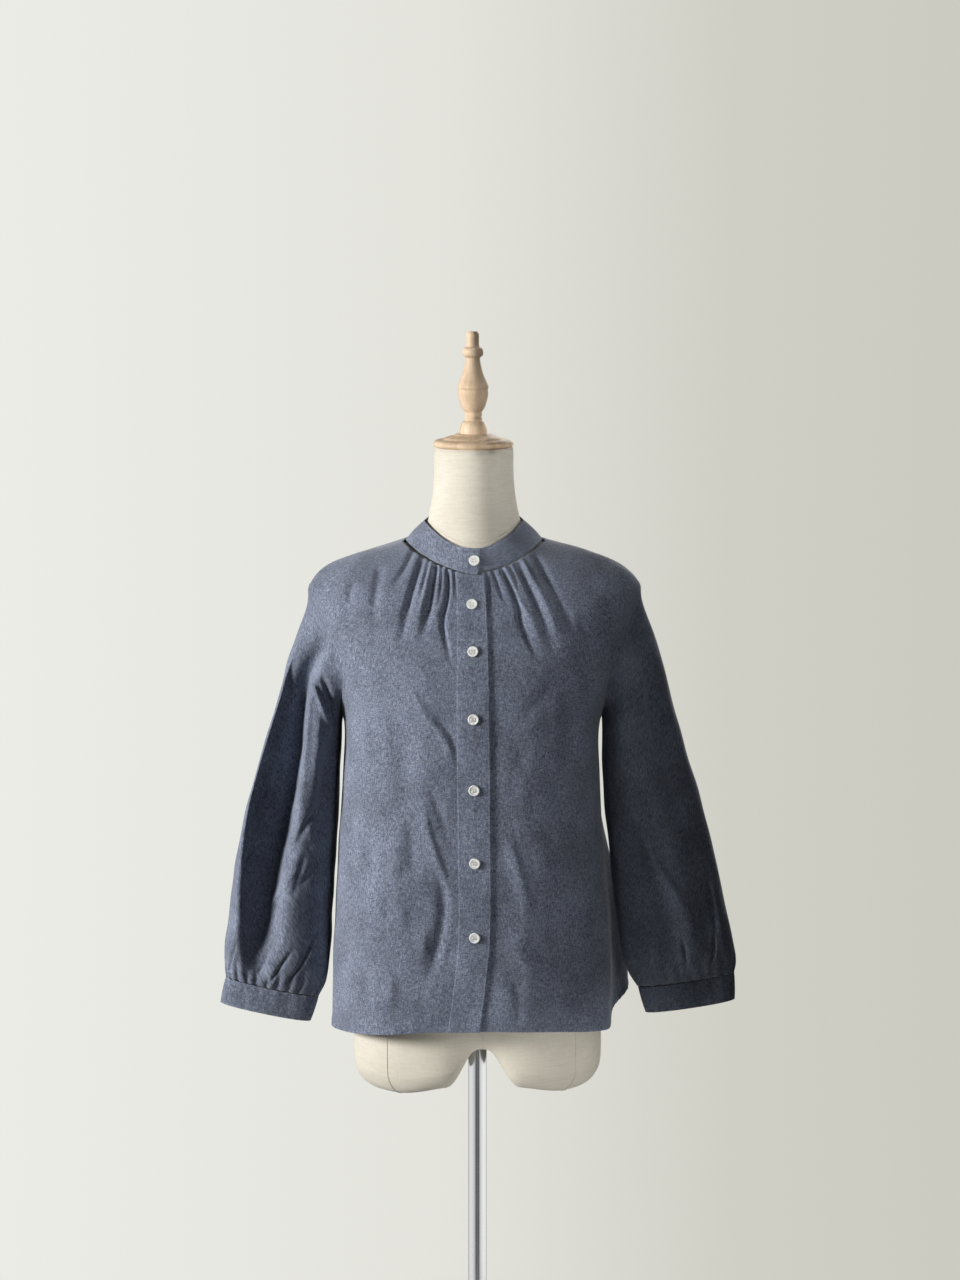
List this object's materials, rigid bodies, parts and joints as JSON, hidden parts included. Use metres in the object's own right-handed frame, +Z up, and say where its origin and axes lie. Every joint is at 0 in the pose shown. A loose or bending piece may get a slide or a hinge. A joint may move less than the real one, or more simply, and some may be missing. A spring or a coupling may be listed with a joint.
{
  "type": "mandarin collar shirt on a dress form",
  "caption": "Loose shirt with a band collar, gathered neckline, buttoned placket and sleeves gathered into cuffs, worn by a limbless dress form on a one-pole stand.",
  "frame": {"origin": "centre of the stand's round base, on the floor", "axes": "+Z up; the shirt's front faces -Y; +X is the wearer's left, the viewer's right"},
  "size_m": [0.7082, 0.33, 1.6517],
  "materials": {
    "chambray": "matte",
    "linen": "matte",
    "button": "gloss",
    "beech": "satin",
    "chrome": "polished"
  },
  "bodies": {
    "root": {"stand_base": "chrome", "stand_pole": "chrome", "form_body": "linen", "neck_plate": "beech", "finial": "beech", "front_right": "chambray", "front_left": "chambray", "back": "chambray", "placket": "chambray", "collar": "chambray", "sleeve_right": "chambray", "cuff_right": "chambray", "sleeve_left": "chambray", "cuff_left": "chambray", "button_1": "button", "button_2": "button", "button_3": "button", "button_4": "button", "button_5": "button", "button_6": "button", "button_7": "button"}
  },
  "joints": []
}
